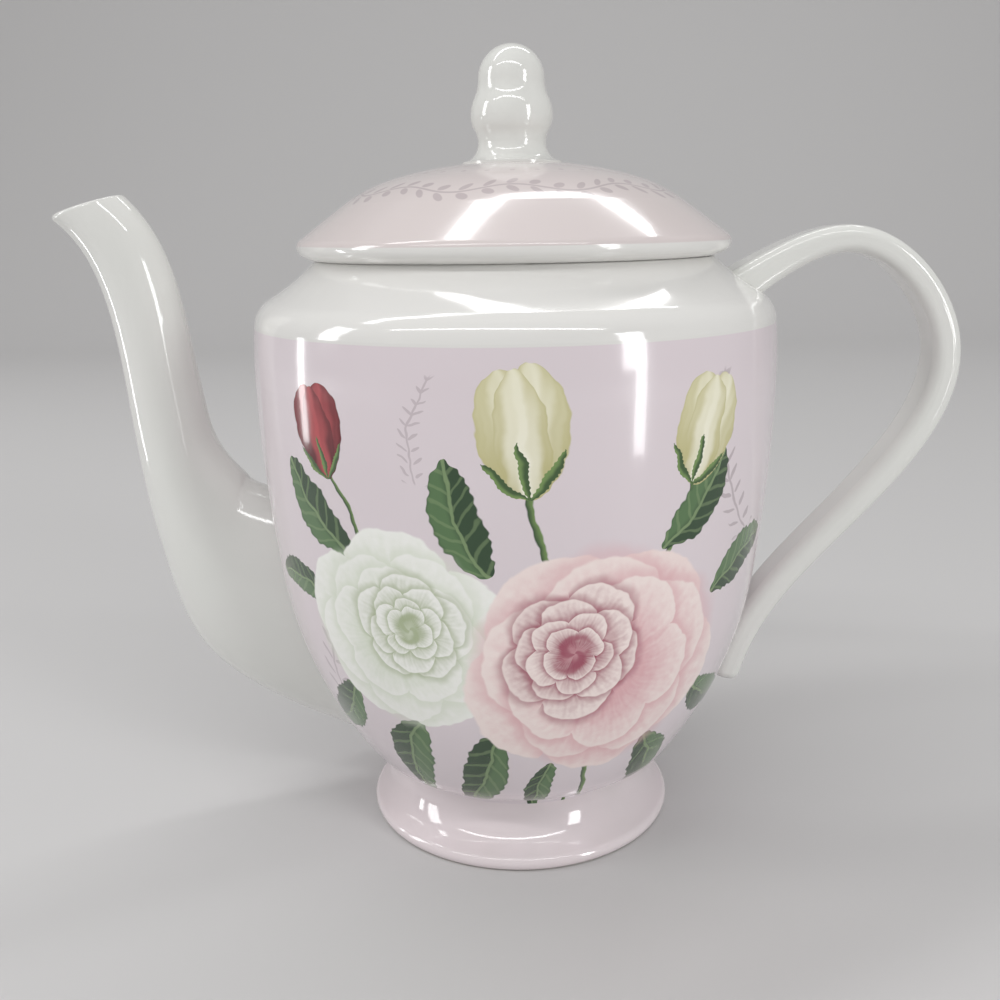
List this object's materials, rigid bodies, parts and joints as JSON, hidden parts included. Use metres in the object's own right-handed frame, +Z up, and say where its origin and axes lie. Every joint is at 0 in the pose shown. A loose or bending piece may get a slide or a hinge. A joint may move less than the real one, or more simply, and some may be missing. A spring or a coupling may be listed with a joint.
{
  "type": "teapot",
  "caption": "Footed porcelain teapot with a tall swan-neck spout, an ear-shaped handle and a domed lid that lifts off, glazed, with a printed spray of flowers.",
  "frame": {"origin": "centre of the foot's base plane, on the pot's axis", "axes": "+Z up along the pot's axis, -X towards the spout, +X towards the handle"},
  "size_m": [0.2292, 0.132, 0.2003],
  "materials": {
    "porcelain_printed": "high-gloss glaze over a printed floral spray on a pale lilac ground",
    "porcelain_white": "high-gloss clear glaze on white porcelain"
  },
  "bodies": {
    "pot": {"pot_body": "porcelain_printed", "pedestal_foot": "porcelain_printed", "spout": "porcelain_white", "handle": "porcelain_white"},
    "lid": {"lid": "porcelain_printed", "lid_knob": "porcelain_white"}
  },
  "joints": [
    {"name": "lid_lift", "type": "slide", "parent": "pot", "child": "lid", "axis": [0, 0, 1], "range_m": [0, 0.045]}
  ]
}
